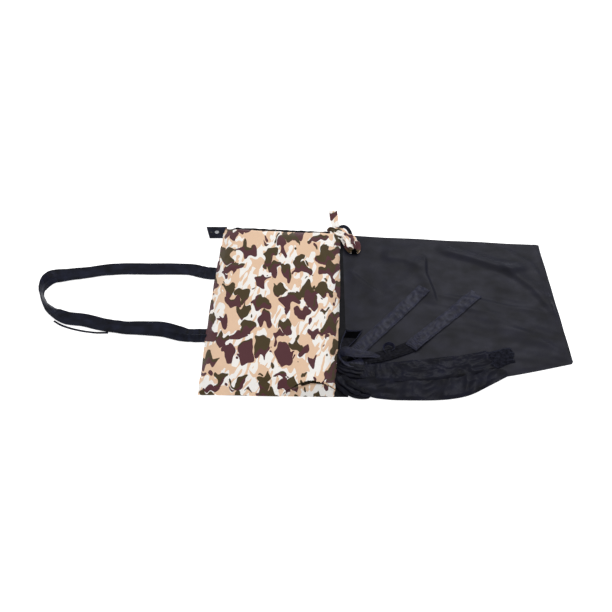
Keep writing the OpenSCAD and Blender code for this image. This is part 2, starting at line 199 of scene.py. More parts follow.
def paintPrint(tree, shift, coords, squeeze):
    # blobs with vertical fingers: olive over maroon, on peach and cream with streaks
    p = printCloth
    where = addNode(tree, "TexCoord").outputs[coords]
    # the print runs on down the sides of the pad: height counts as length
    spread = addNode(tree, "Mapping", {"Vector": where, "Scale": (squeeze, 1, 1)}).outputs[0]
    axes = addNode(tree, "SeparateXYZ", {0: spread}).outputs
    length = addNode(tree, "Math", {0: axes["Y"], 1: axes["Z"]}, operation="ADD").outputs[0]
    flat = addNode(tree, "CombineXYZ", {"X": axes["X"], "Y": length}).outputs[0]
    flat = addNode(tree, "VectorMath", {0: flat, 1: shift}, operation="ADD").outputs[0]
    blobs = scaled(tree, flat, p["blob"])
    wander = addNode(tree, "TexNoise", {"Vector": blobs, "Scale": 1.5, "Detail": 0.0})
    push = addNode(tree, "VectorMath", {0: wander.outputs["Color"], 1: (0.5, 0.5, 0.5)}, operation="SUBTRACT")
    push = addNode(tree, "VectorMath", {0: push.outputs[0], "Scale": p["wander"]}, operation="SCALE")
    warped = addNode(tree, "VectorMath", {0: blobs, 1: push.outputs[0]}, operation="ADD").outputs[0]

    comb = scaled(tree, flat, (p["finger"], 60, 60))
    comb = addNode(tree, "TexNoise", {"Vector": comb, "Scale": 1.0, "Detail": 0.0})
    lift = addNode(tree, "MapRange", {"Value": comb.outputs["Fac"], 1: 0.3, 2: 0.7,
                                      3: -p["reach"], 4: p["reach"]})
    lift = addNode(tree, "CombineXYZ", {"Y": lift.outputs[0]})
    fingered = addNode(tree, "VectorMath", {0: warped, 1: lift.outputs[0]}, operation="ADD").outputs[0]

    # one dark blob for most cells
    cells = addNode(tree, "TexVoronoi", {"Vector": fingered, "Scale": 1.0, "Randomness": 0.9},
                    voronoi_dimensions="2D").outputs
    chance = addNode(tree, "SeparateColor", {0: cells["Color"]}).outputs
    wobble = addNode(tree, "TexNoise", {"Vector": warped, "Scale": 1.9, "Detail": 0.0}).outputs["Fac"]
    limit = addNode(tree, "MapRange", {"Value": wobble, 1: 0.25, 2: 0.75,
                                       3: p["blobSize"] - p["edgeWander"],
                                       4: p["blobSize"] + p["edgeWander"]})
    bigger = addNode(tree, "MapRange", {"Value": chance["Red"], 3: p["sizes"][0], 4: p["sizes"][1]})
    limit = addNode(tree, "Math", {0: limit.outputs[0], 1: bigger.outputs[0]}, operation="ADD").outputs[0]
    isDark = addNode(tree, "Math", {0: cells["Distance"], 1: limit}, operation="LESS_THAN").outputs[0]

    # olive above the blob's middle and maroon below it, higher or lower from blob to blob
    middle = addNode(tree, "SeparateXYZ", {0: cells["Position"]}).outputs["Y"]
    here = addNode(tree, "SeparateXYZ", {0: fingered}).outputs["Y"]
    above = addNode(tree, "Math", {0: here, 1: middle}, operation="SUBTRACT").outputs[0]
    level = {"Value": chance["Green"], 3: p["split"][0], 4: p["split"][1]}
    level = addNode(tree, "MapRange", level).outputs[0]
    isOlive = addNode(tree, "Math", {0: above, 1: level}, operation="GREATER_THAN").outputs[0]
    darkColour = addNode(tree, "Mix", {0: isOlive, 6: linear(p["maroon"]), 7: linear(p["olive"])},
                         data_type="RGBA")

    elsewhere = addNode(tree, "VectorMath", {0: fingered, 1: (7.3, 2.1, 4.4)}, operation="ADD").outputs[0]
    light = addNode(tree, "TexNoise", {"Vector": elsewhere, "Scale": 1.25, "Detail": 0.0}).outputs["Fac"]
    isPeach = addNode(tree, "Math", {0: light, 1: p["peachLevel"]}, operation="GREATER_THAN").outputs[0]

    slanted = addNode(tree, "Mapping", {"Vector": flat, "Rotation": (0, 0, 0.3)}).outputs[0]
    slanted = scaled(tree, slanted, (8, 30, 30))
    streaks = addNode(tree, "TexNoise", {"Vector": slanted, "Scale": 1.0, "Detail": 0.0}).outputs["Fac"]
    isStreak = addNode(tree, "Math", {0: streaks, 1: p["streakLevel"]}, operation="GREATER_THAN").outputs[0]
    warm = addNode(tree, "Math", {0: isPeach, 1: isStreak}, operation="MAXIMUM").outputs[0]
    ground = addNode(tree, "Mix", {0: warm, 6: linear(p["cream"]), 7: linear(p["peach"])}, data_type="RGBA")

    # small drops between the blobs, in two cells out of five
    dropCells = addNode(tree, "TexVoronoi", {"Vector": fingered, "Scale": 1.9},
                        voronoi_dimensions="2D").outputs
    dropChance = addNode(tree, "SeparateColor", {0: dropCells["Color"]}).outputs
    dropSize = {"Value": dropChance["Red"], 1: 0.6, 3: 0.0, 4: p["drop"]}
    dropSize = addNode(tree, "MapRange", dropSize).outputs[0]
    isDrop = addNode(tree, "Math", {0: dropCells["Distance"], 1: dropSize}, operation="LESS_THAN").outputs[0]
    inked = addNode(tree, "Math", {0: isDark, 1: isDrop}, operation="MAXIMUM").outputs[0]
    return where, addNode(tree, "Mix", {0: inked, 6: ground.outputs[2], 7: darkColour.outputs[2]},
                          data_type="RGBA")


def printedCotton(name, shift, coords="Object", squeeze=1.0, tone=1.0):
    # cotton twill, screen printed: matt, crisp-edged colours with a faint slanted thread
    paint, tree, shader = startMaterial(name, 0.82, 0.18)
    where, colour = paintPrint(tree, shift, coords, squeeze)
    # thread shading, 1.6 mm where the real thread is 0.3, so that it shows at all
    fade = scaled(tree, where, (1.6, 5, 5))
    fade = addNode(tree, "TexNoise", {"Vector": fade, "Scale": 1.0, "Detail": 2.0})
    # a tone below 1 darkens the whole print evenly, as painted shade
    thread = addNode(tree, "MapRange", {"Value": fade.outputs["Fac"], 1: 0.3, 2: 0.7,
                                        3: 0.965 * tone, 4: 1.02 * tone})
    worn = addNode(tree, "VectorMath", {0: colour.outputs[2], "Scale": thread.outputs[0]}, operation="SCALE")
    tree.links.new(worn.outputs[0], shader.inputs["Base Color"])
    shader.inputs["Sheen Weight"].default_value = 0.12
    shader.inputs["Sheen Roughness"].default_value = 0.6
    weave(tree, shader, where, 1.6, 0.04, twill=0.8)
    return paint


def blackCloth(name, base, bright, roughness, specular, sheen, thread, depth, mottle, coords="UV"):
    # dyed polyester: dark ground that varies a little over the cloth, thread bump and a cool sheen; also used
    # below for the painted-shade materials
    paint, tree, shader = startMaterial(name, roughness, specular)
    where = addNode(tree, "TexCoord").outputs[coords]
    patches = scaled(tree, where, (mottle, mottle, mottle))
    patches = addNode(tree, "TexNoise", {"Vector": patches, "Scale": 1.0, "Detail": 3.0})
    tone = addNode(tree, "MapRange", {"Value": patches.outputs["Fac"], 1: 0.3, 2: 0.7, 3: 0.0, 4: 1.0})
    colour = addNode(tree, "Mix", {0: tone.outputs[0], 6: linear(base), 7: linear(bright)}, data_type="RGBA")
    tree.links.new(colour.outputs[2], shader.inputs["Base Color"])
    rub = addNode(tree, "MapRange", {"Value": patches.outputs["Fac"], 1: 0.3, 2: 0.7,
                                     3: roughness + 0.06, 4: roughness - 0.06})
    tree.links.new(rub.outputs[0], shader.inputs["Roughness"])
    shader.inputs["Sheen Weight"].default_value = sheen
    shader.inputs["Sheen Roughness"].default_value = 0.45
    shader.inputs["Sheen Tint"].default_value = linear("#A9B4E0")
    weave(tree, shader, where, thread, depth)
    return paint


def paintedBrass():
    # stamped brass with black stove enamel: smooth and half glossy, slightly orange-peeled
    paint, tree, shader = startMaterial("black enamelled brass", 0.35, 0.5)
    where = addNode(tree, "TexCoord").outputs["Object"]
    peel = scaled(tree, where, (0.8, 0.8, 0.8))
    peel = addNode(tree, "TexNoise", {"Vector": peel, "Scale": 1.0, "Detail": 3.0}).outputs["Fac"]
    colour = addNode(tree, "Mix", {0: peel, 6: linear("#0B0B0E"), 7: linear("#1C1C20")}, data_type="RGBA")
    tree.links.new(colour.outputs[2], shader.inputs["Base Color"])
    rough = addNode(tree, "MapRange", {"Value": peel, 3: 0.28, 4: 0.45}).outputs[0]
    tree.links.new(rough, shader.inputs["Roughness"])
    return paint


def tumbledNickel():
    # nickel-plated brass, stamped and tumbled: light grey metal with a fine even grain
    paint, tree, shader = startMaterial("tumbled nickel plate", 0.32, 0.5)
    shader.inputs["Metallic"].default_value = 1.0
    where = addNode(tree, "TexCoord").outputs["Object"]
    grain = scaled(tree, where, (0.3, 0.3, 0.3))
    grain = addNode(tree, "TexNoise", {"Vector": grain, "Scale": 1.0, "Detail": 4.0}).outputs["Fac"]
    colour = addNode(tree, "Mix", {0: grain, 6: linear("#8A8C90"), 7: linear("#C4C6C8")}, data_type="RGBA")
    tree.links.new(colour.outputs[2], shader.inputs["Base Color"])
    rough = addNode(tree, "MapRange", {"Value": grain, 3: 0.24, 4: 0.42}).outputs[0]
    tree.links.new(rough, shader.inputs["Roughness"])
    return paint


camoCotton = printedCotton("printed cotton twill", (0, 0, 0))
# below the near fold, another stretch of cloth; its darker tone is painted shade
shadedTurnedCotton = printedCotton("printed cotton twill under the fold, painted shade", (0.09, 0.16, 0), tone=0.8)
# the tie is the same cloth folded lengthwise, so its print shows as long streaks
tieCotton = printedCotton("printed cotton twill, folded", (0.052, 0.047, 0), "UV", 3.0)
tailCotton = printedCotton("printed cotton twill, cut on the cross", (0.052, 0.047, 0))
# thread sizes are about four times the real ones, which would be finer than a render shows
legPolyester = blackCloth("brushed polyester taffeta", "#15151B", "#1D1D2A", 0.48, 0.17, 0.05, 1.4, 0.04, 45)
liningTaffeta = blackCloth("polyester lining taffeta", "#0D0D10", "#16161A", 0.6, 0.1, 0.03, 1.2, 0.05, 20)
strapCloth = blackCloth("folded poplin strap", "#090A10", "#1D2031", 0.40, 0.10, 0.03, 1.2, 0.08, 22)
tieSatin = blackCloth("polyester satin ribbon", "#171722", "#25263B", 0.40, 0.20, 0.08, 1.2, 0.06, 12)
sashSatin = blackCloth("crumpled polyester satin", "#09090F", "#141526", 0.36, 0.12, 0.03, 1.3, 0.08, 40)
# a darker copy of the sash satin, as painted shade among the gathered folds
knotShadeSatin = blackCloth("gathered satin with painted shade", "#050509", "#131421", 0.34, 0.10, 0.0, 1.3, 0.08, 20)
velvetPatch = blackCloth("worn hook-and-loop pile", "#050508", "#23232C", 0.85, 0.06, 0.2, 1.8, 0.6, 4)
# darker black cloth as painted shade, for cloth lying under or inside other cloth
foldShadeCloth = blackCloth("taffeta with painted shade of the folds", "#06060A", "#171720", 0.46, 0.06, 0.02, 1.3, 0.06, 6)
# the last two are painted shade: the darkness in a crease and in an opening, on closed surfaces
creaseShade = blackCloth("shaded cotton in a crease", "#120F0A", "#2A2216", 0.8, 0.03, 0.0, 1.3, 0.04, 8,
                         "Object")
openingShade = blackCloth("painted shade in openings", "#020203", "#050508", 0.9, 0.02, 0.0, 1.3, 0.04, 20)
eyeletMetal = paintedBrass()
eyeletNickel = tumbledNickel()
print("materials ready")

# ---- making helpers


def pick(piece):
    bpy.ops.object.select_all(action="DESELECT")
    piece.select_set(True)
    bpy.context.view_layer.objects.active = piece


def useModifier(piece, kind, **settings):
    pick(piece)
    step = piece.modifiers.new(kind.lower(), kind)
    for name, value in settings.items():
        setattr(step, name, value)
    bpy.ops.object.modifier_apply(modifier=step.name)


def smoothShade(piece, angle=50):
    pick(piece)
    bpy.ops.object.shade_smooth_by_angle(angle=math.radians(angle))


def clothGrid(name, columns, rows, place, size=(1, 1)):
    # a grid whose points go to place(u, v) in mm; its UVs are metres of cloth
    bpy.ops.object.select_all(action="DESELECT")
    bpy.ops.mesh.primitive_grid_add(x_subdivisions=columns, y_subdivisions=rows, size=1)
    piece = bpy.context.object
    piece.name = piece.data.name = name
    for point in piece.data.vertices:
        point.co = Vector(place(point.co.x + 0.5, point.co.y + 0.5)) * mm
    for corner in piece.data.uv_layers.active.data:
        corner.uv = (corner.uv[0] * size[0] * mm, corner.uv[1] * size[1] * mm)
    return piece


def finishPiece(piece, paint, replaced=(), body=None, shade=50):
    smoothShade(piece, shade)
    piece.data.materials.clear()
    piece.data.materials.append(paint)
    if replaced:
        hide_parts(*replaced)
    if body:
        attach(piece, body)


def onCurve(points, t):
    # smooth curve through the points, t from 0 to 1
    last = len(points) - 1
    i = min(int(t * last), last - 1)
    f = t * last - i
    a, b, c, d = (points[min(max(k, 0), last)] for k in (i - 1, i, i + 1, i + 2))
    g = f * f
    return [0.5 * (2 * q + (r - p) * f + (2 * p - 5 * q + 4 * r - s) * g + (3 * q - p - 3 * r + s) * g * f)
            for p, q, r, s in zip(a, b, c, d)]


def curveLength(points, steps=200):
    spots = [onCurve(points, k / steps) for k in range(steps + 1)]
    return sum(math.dist(a[:3], b[:3]) for a, b in zip(spots, spots[1:]))


def smoothStep(a, b, x):
    t = min(max((x - a) / (b - a), 0), 1)
    return t * t * (3 - 2 * t)


def ripple(x, y, size, seed=0):
    # soft random hills, -1 to 1
    return noise.noise(Vector((x / size, y / size, seed)))


def crumple(x, y, size, seed=0):
    # flat facets between sharp creases, about -1 to 1
    return 1 - 3.2 * abs(noise.noise(Vector((x / size, y / size, seed))))


def lineDistance(x, y, points):
    # signed distance to a line of points, and how far along it that is, 0 to 1
    best = (1e9, 0, 0)
    for i, (a, b) in enumerate(zip(points, points[1:])):
        dx, dy = b[0] - a[0], b[1] - a[1]
        t = min(max(((x - a[0]) * dx + (y - a[1]) * dy) / (dx * dx + dy * dy), 0), 1)
        px, py = x - a[0] - t * dx, y - a[1] - t * dy
        d = math.hypot(px, py)
        if d < best[0]:
            best = (d, math.copysign(1, dx * py - dy * px), (i + t) / (len(points) - 1))
    return best[0] * best[1], best[2]


def foldHeight(x, y, fold):
    # a fold's ridge: left and right slopes, height, fading to its ends
    line, left, right, height = fold
    d, t = lineDistance(x, y, line)
    width = left if d > 0 else right
    if abs(d) > 3.2 * width:
        return 0
    return height * math.exp(-(d / width) ** 2) * smoothStep(0, 0.18, t) * smoothStep(1, 0.75, t)


def layRibbon(name, route, thickness, columns, rows, relief=None, ground=None):
    # route rows are x, y, lift, width and bank in degrees; relief(across, along) adds height
    length = curveLength(route)

    def place(u, v):
        x, y, lift, width, bank = onCurve(route, v)
        a, b = onCurve(route, max(v - 0.004, 0)), onCurve(route, min(v + 0.004, 1))
        dx, dy = b[0] - a[0], b[1] - a[1]
        step = math.hypot(dx, dy) or 1
        sideX, sideY = dy / step, -dx / step
        roll = math.radians(bank)
        width *= 1 + 0.05 * ripple(v * length, 3, 16, len(route)) * (1 if ground else 0.3)
        across = (u - 0.5) * width + (0.7 * ripple(v * length, 8, 24, len(route)) if ground else 0)
        z = lift + thickness * abs(math.cos(roll)) + abs(math.sin(roll)) * width / 2
        z -= across * math.sin(roll)
        bump = relief(across, v * length, width) if relief else 0
        px = x + across * math.cos(roll) * sideX + bump * math.sin(roll) * sideX
        py = y + across * math.cos(roll) * sideY + bump * math.sin(roll) * sideY
        if ground:
            z += ground(px, py)
        return px, py, max(z + bump * math.cos(roll), thickness + 0.05)

    piece = clothGrid(name, columns, rows, place, (route[len(route) // 2][3], length))
    useModifier(piece, "SOLIDIFY", thickness=thickness * mm, offset=-1)
    return piece, length


def weldAll(piece):
    pick(piece)
    bpy.ops.object.mode_set(mode="EDIT")
    bpy.ops.mesh.select_all(action="SELECT")
    bpy.ops.mesh.remove_doubles(threshold=0.00002)
    bpy.ops.mesh.normals_make_consistent(inside=False)
    bpy.ops.object.mode_set(mode="OBJECT")


def twistBundle(name, route, values, ground):
    # gathered cloth: a closed tube along x, y, width, height with folds that wind round it
    around, rows = values["around"], values["rows"]
    length = curveLength([r[:2] for r in route])

    def place(u, v):
        x, y, width, height = onCurve(route, v)
        a, b = onCurve(route, max(v - 0.01, 0)), onCurve(route, min(v + 0.01, 1))
        dx, dy = b[0] - a[0], b[1] - a[1]
        step = math.hypot(dx, dy) or 1
        angle = -2 * math.pi * u
        end = math.sqrt(max(min(v, 1 - v) / values["taper"], 0)) if min(v, 1 - v) < values["taper"] else 1
        wind = values["folds"] * angle + values["wind"] * v * length
        drift = noise.noise(Vector((math.cos(angle), math.sin(angle), v * length / 14 + values["seed"])))
        crease = abs(math.cos(wind / 2 + values["drift"] * drift))
        radius = end * (1 + values["depth"] * (crease - 0.75) + 0.16 * drift)
        across = math.cos(angle) * width / 2 * radius
        up = max(math.sin(angle) * height / 2 * radius, -height / 2 * 0.92)
        px, py = x + across * dy / step, y - across * dx / step
        return px, py, ground(px, py) + height / 2 + up

    piece = clothGrid(name, around, rows, place, (math.pi * route[len(route) // 2][2] * 0.8, length))
    weldAll(piece)
    return piece


# ---- padded front panel

panel = {
    "farLeft": (-141, 272), "farRight": (166, 252), "nearRight": (141, -266), "nearLeft": (-171, -260),
    "bulge": 6, "base": 2, "crown": 26, "edge": 5, "slope": 0.05,
    "crease": [(12, -261), (36, -254), (58, -246), (84, -241), (110, -241), (150, -244)],
    "creaseDepth": 5, "creaseWidth": 3,
    "voxel": 4.6, "pressure": 4, "cap": 5, "frames": 20,
    "folds": [
        ([(2, -262), (34, -252), (56, -243), (84, -236), (120, -235), (170, -240)], 10, 3, 4.0),
        ([(-120, 262), (-60, 232), (30, 226)], 22, 9, 2.4),
        ([(120, 262), (100, 200), (110, 120)], 12, 26, 2.6),
        ([(150, 215), (120, 150), (125, 60)], 8, 20, 2.2),
        ([(158, 240), (120, 225), (70, 232)], 7, 12, 2.6),
        ([(-150, 116), (-110, 106), (-50, 112)], 14, 10, 2.4),
        ([(-158, -86), (-120, -98), (-60, -92)], 14, 10, 2.4),
        ([(-150, -190), (-60, -214), (20, -206)], 12, 20, 2.0),
        ([(30, -70), (90, -40), (150, -60)], 18, 30, 2.0),
    ],
}


def panelPoint(u, v):
    near = [a + (b - a) * u for a, b in zip(panel["nearLeft"], panel["nearRight"])]
    far = [a + (b - a) * u for a, b in zip(panel["farLeft"], panel["farRight"])]
    x, y = (a + (b - a) * v for a, b in zip(near, far))
    return x + (2 * u - 1) * panel["bulge"] * 4 * v * (1 - v), y


def shoulder(t, share):
    # a quarter ellipse up to 1 at share
    return 1 if t >= share else math.sqrt(max(1 - (1 - t / share) ** 2, 0))


def pillow(u, v):
    # the near side is folded down in one slope; the others are round
    slope = min(v / panel["slope"], 1) ** 0.8
    return slope * shoulder(1 - v, 0.2) * shoulder(u, 0.24) * shoulder(1 - u, 0.2)


def swell(piece):
    # air pressure rounds the pad; no point moves past the cap
    start = [point.co.copy() for point in piece.data.vertices]
    pick(piece)
    cloth = piece.modifiers.new("cloth", "CLOTH")
    cloth.settings.quality = 4
    cloth.settings.mass = 0.15
    cloth.settings.tension_stiffness = cloth.settings.compression_stiffness = 12
    cloth.settings.use_pressure = True
    cloth.settings.uniform_pressure_force = panel["pressure"]
    cloth.settings.effector_weights.gravity = 0
    cloth.collision_settings.use_collision = False
    cloth.point_cache.frame_end = panel["frames"]
    for step in range(1, panel["frames"] + 1):
        bpy.context.scene.frame_set(step)
    bpy.ops.object.modifier_apply(modifier="cloth")
    bpy.context.scene.frame_set(1)
    for point, was in zip(piece.data.vertices, start):
        # the outline stays where it is: only what stands off the floor swells
        move = (point.co - was) * smoothStep(3, 12, was.z / mm)
        point.co = was + move
        if move.length > panel["cap"] * mm:
            point.co = was + move.normalized() * panel["cap"] * mm


def makePanel():
    piece = clothGrid("camoPanel", 60, 100, lambda u, v: (u, v, 0))
    pick(piece)
    bpy.ops.object.mode_set(mode="EDIT")
    bpy.ops.mesh.select_all(action="SELECT")
    bpy.ops.mesh.extrude_region_move(TRANSFORM_OT_translate={"value": (0, 0, mm)})
    bpy.ops.object.mode_set(mode="OBJECT")
    for point in piece.data.vertices:
        u, v = point.co.x / mm, point.co.y / mm
        x, y = panelPoint(u, v)
        lift = max(panel["edge"], panel["crown"] * pillow(u, v)) if point.co.z > mm / 2 else 0
        point.co = Vector((x, y, panel["base"] + lift)) * mm
    weldAll(piece)
    useModifier(piece, "REMESH", mode="VOXEL", voxel_size=panel["voxel"] * mm)
    swell(piece)
    useModifier(piece, "SUBSURF", levels=1, render_levels=1)
    base = panel["base"] + 0.1
    for point in piece.data.vertices:
        x, y, z = point.co / mm
        share = smoothStep(4, 16, z)
        lift = sum(foldHeight(x, y, fold) for fold in panel["folds"])
        lift += 1.7 * ripple(x, y, 70, 3) + 0.6 * ripple(x, y, 28, 8)
        below, along = lineDistance(x, y, panel["crease"])
        dent = math.exp(-(below / panel["creaseWidth"]) ** 2) * smoothStep(0, 0.4, along)
        lift -= panel["creaseDepth"] * dent
        lift += 2 if below < 0 and along > 0.1 else 0
        # the fold by the near edge hangs over the crease below it
        point.co.y -= share * foldHeight(x, y, panel["folds"][0]) * mm
        point.co.z = max(z + share * lift, base) * mm
    finishPiece(piece, camoCotton, ("panel_face", "panel_padding"), "panel", shade=70)
    piece.data.materials.append(shadedTurnedCotton)
    piece.data.materials.append(creaseShade)
    # painted shade: faces along the crease take the dark crease cloth, and faces below it the darker
    # turned-under print
    for face in piece.data.polygons:
        spot = face.center / mm
        below, along = lineDistance(spot.x, spot.y, panel["crease"])
        if 0.08 < along < 1 and abs(below) < 0.3 + 1.0 * along:
            face.material_index = 2
        elif below < 0 and along > 0.06 and face.normal.z > -0.5:
            face.material_index = 1


makePanel()
print("panel ready")

# ---- black lining under the panel, its wavy far edge showing

lining = {"thickness": 1.6, "inset": 0.010, "wave": 2.2, "peek": 7}


def makeLining():
    def place(u, v):
        x, y = panelPoint(*(lining["inset"] + (1 - lining["inset"]) * share for share in (u, v)))
        far = smoothStep(0.93, 1, v) * smoothStep(0.04, 0.1, u) * smoothStep(0.98, 0.86, u)
        y += far * (lining["peek"] + lining["wave"] * ripple(x, 0, 14, 5) + 1.2 * ripple(x, 0, 40, 2))
        x += smoothStep(0.94, 1, u) * max(169.8 - panelPoint(1, v)[0], 0)
        z = lining["thickness"] + far * 1.2 * max(ripple(x, 9, 22, 1), 0)
        return x, y, z

    piece = clothGrid("liningSheet", 100, 80, place, (306, 524))
    useModifier(piece, "SOLIDIFY", thickness=lining["thickness"] * mm, offset=-1)
    finishPiece(piece, liningTaffeta, ("back_lining",), "panel")


makeLining()
print("lining ready")

# ---- neck strap

neck = {
    "thickness": 2.4,
    "stitches": (-15.5, -5.5, 5.0, 15.5),       # lines of stitching across the strap, mm
    "route": [
        (-146, 112, 0, 38, 0), (-162, 113, 0, 39, 0),
        (-176, 115, 0, 39, 0), (-184, 117, 0, 39, 0), (-194, 120, 0, 39, 0), (-210, 125, 0, 38, 0),
        (-240, 128, 0, 38, 0), (-300, 128, 0, 38, 0), (-376, 129, 0, 38, 0), (-430, 125, 0, 38, 0),
        (-480, 116, 0, 38, 0), (-520, 108, 0, 38, -6), (-550, 99, 0, 37, -20), (-565, 86, 0, 34, -48),
        (-574, 66, 0, 32, -70), (-577, 45, 0, 31, -77), (-570, 24, 0, 31, -76), (-558, 5, 0, 33, -62),
        (-543, -13, 0, 34, -36), (-526, -23, 0, 36, -14), (-500, -33, 0, 38, 0), (-457, -40, 0, 38, 0),
        (-411, -53, 0, 38, 0), (-366, -62, 0, 38, 0), (-308, -67, 0, 38, 12), (-265, -73, 0, 38, 22),
        (-225, -84, 0, 38, 14), (-204, -86, 0, 38, 0), (-190, -86, 0, 39, 0), (-176, -86, 0, 40, 0),
        (-164, -86, 0, 39, 0), (-156, -86, 0, 38, 0),
    ],
    "looseTape": [
        (-534, -40, 0.4, 4, 0), (-516, -52, 0, 5, 0), (-492, -62, 0, 5, 0), (-468, -69, 0, 5, 0),
        (-448, -73, 0, 5, 0), (-425, -76, 0, 5, 0), (-398, -76, 0.4, 5, 0),
    ],
}


def strapRelief(across, along, width):
    grooves = sum(-0.5 * math.exp(-((across - line) / 0.9) ** 2) for line in neck["stitches"])
    edge = 0.4 * math.exp(-((abs(across) - width / 2 + 1.5) / 1.2) ** 2)
    rough = 1.1 * ripple(along, across * 0.4, 24, 2) + 0.4 * ripple(along, across, 9, 6)
    rough += 0.6 * crumple(along * 0.5, across, 26, 11)
    kink = 1.4 * math.exp(-((along - 395) / 6) ** 2) + 1.2 * math.exp(-((along - 690) / 7) ** 2)
    # the lower leg is half twisted: a ridge along its middle
    turn = smoothStep(740, 800, along) * smoothStep(960, 900, along)
    ridge = turn * 6.0 * math.exp(-((across - 3) / 5) ** 2)
    return grooves + edge + rough + kink + ridge + 0.9


def makeNeckStrap():
    piece, length = layRibbon("neckStrap", neck["route"], neck["thickness"], 40, 330, strapRelief)
    finishPiece(piece, strapCloth, (
        "neck_root_upper", "neck_root_lower", "neck_strap_upper", "neck_strap_bend", "neck_strap_lower"))
    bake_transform(piece)
    tape = layRibbon("looseTape", neck["looseTape"], 1.2, 8, 40)[0]
    finishPiece(tape, strapCloth, ("neck_loose_tape",), "neck_strap")


makeNeckStrap()
print("neck strap ready")

# ---- snap tab with its eyelet and stud

tab = {
    "outline": ((-188, 279), (-177, 239), (-126, 239), (-134, 278)),
    "thickness": 2.8, "eyelet": (-159, 258), "hole": 3.2, "size": (62, 40),
}


def makeTab():
    farLeft, nearLeft, nearRight, farRight = tab["outline"]
    hole = tab["eyelet"]

    def place(u, v):
        x0, x1 = (a[0] + (b[0] - a[0]) * u for a, b in ((nearLeft, nearRight), (farLeft, farRight)))
        x = x0 + (x1 - x0) * v
        y = nearLeft[1] + (farLeft[1] - nearLeft[1]) * v
        edge = min(u * 60, 40 * v, 40 * (1 - v))
        z = tab["thickness"] - 0.5 * math.exp(-((edge - 3) / 0.8) ** 2) + 0.3 * ripple(x, y, 12, 3)
        d = math.hypot(x - hole[0], y - hole[1])
        if d < 3 * tab["hole"]:
            # push the grid's points out of the hole
            grow = (tab["hole"] + d * 2 / 3) / max(d, 0.01)
            x = hole[0] + (x - hole[0]) * grow
            y = hole[1] + (y - hole[1]) * grow
        return x, y, z

    piece = clothGrid("snapTab", 52, 40, place, tab["size"])
    pick(piece)
    bpy.ops.object.mode_set(mode="EDIT")
    bpy.ops.mesh.select_all(action="DESELECT")
    bpy.ops.object.mode_set(mode="OBJECT")
    for face in piece.data.polygons:
        centre = face.center / mm
        face.select = math.hypot(centre.x - hole[0], centre.y - hole[1]) < tab["hole"]
    bpy.ops.object.mode_set(mode="EDIT")
    bpy.ops.mesh.delete(type="FACE")
    bpy.ops.object.mode_set(mode="OBJECT")
    useModifier(piece, "SOLIDIFY", thickness=(tab["thickness"] - 0.2) * mm, offset=-1)
    finishPiece(piece, strapCloth, ("tab_root", "snap_tab"))
    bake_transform(piece)


def paintNode(name, paint):
    data = bpy.data.objects[name].data
    data.materials.clear()
    data.materials.append(paint)


makeTab()
paintNode("eyelet_barrel", eyeletNickel)
for name in ("eyelet_washer", "snap_stud", "snap_post"):
    paintNode(name, eyeletMetal)
print("tab ready")

# ---- leg cloth

leg = {
    "near": [(163, -254), (350, -234), (540, -204), (697, -168)],
    "far": [(163, 249), (678, 213)],
    "thickness": 1.4, "hem": 15,
    "shadePatches": [(184, -160, 26, 8), (217, -139, 12, 4)],     # painted shade: dark patches that stand for the shade in openings
    "folds": [
        ([(380, 184), (376, 112), (388, 60), (396, 4)], 4, 30, 5.5),
        ([(398, 42), (500, 22), (600, -4), (694, -30)], 7, 16, 2.0),
        ([(400, 10), (520, -12), (690, -60)], 6, 9, 0.9),
        ([(350, 26), (460, -2), (600, -40), (690, -80)], 6, 9, 1.0),
        ([(400, 200), (500, 164), (590, 120), (648, 138)], 24, 11, 8.0),
        ([(556, 156), (640, 64), (692, -44)], 24, 12, 7.0),
        ([(520, 100), (600, 60), (680, -100)], 26, 26, 2.6),
        ([(180, 128), (215, 88), (268, 36)], 4, 20, 3.2),
        ([(262, 170), (330, 160), (384, 118)], 24, 12, 4.2),
        ([(200, 220), (300, 190), (410, 204)], 20, 26, 2.8),
        ([(560, 212), (640, 150), (680, 60)], 12, 18, 2.8),
        ([(470, 30), (560, -60), (670, -110)], 14, 26, 2.4),
        ([(560, -60), (640, -110), (690, -150)], 10, 18, 2.6),
        ([(260, 60), (330, 90), (372, 150)], 18, 10, 2.2),
        ([(230, 10), (290, 40), (360, 90)], 16, 12, 2.0),
    ],
}


def legEdges(x):
    # the cloth's near and far edge at x
    share = min(max((x - 163) / 533, 0), 1)
    nearY = -254 + 50 * min(share * 533 / 377, 1) + 36 * max((share * 533 - 377) / 156, 0)
    return nearY, 249 - 36 * min(max((x - 163) / 515, 0), 1)


def legLift(x, y):
    # how far the cloth stands off the floor
    nearY, farY = legEdges(x)
    end = 696 - 18 * min(max((y + 174) / 392, 0), 1)
    inside = smoothStep(0, 14, y - nearY) * smoothStep(0, 14, farY - y) * smoothStep(0, 14, end - x)
    calm = smoothStep(172, 200, x) * (1 - 0.75 * smoothStep(-60, -130, y) * smoothStep(560, 480, x))
    lift = sum(foldHeight(x, y, fold) for fold in leg["folds"])
    lift += 1.7 * ripple(x, y, 90, 1) + 0.5 * ripple(x * 0.7, y, 34, 4)
    lift += 0.4 * crumple(x, y * 1.6, 60, 14)
    fine = smoothStep(70, 30, y) * smoothStep(330, 420, x)
    lift += fine * 0.3 * math.sin((y + 0.23 * x) / 4.2 + 2 * ripple(x, y, 60, 9))
    return max(lift + 0.6, 0) * inside * calm


def legTop(x, y):
    return leg["thickness"] + legLift(x, y) + (0.3 if x < 200 else 0.2)


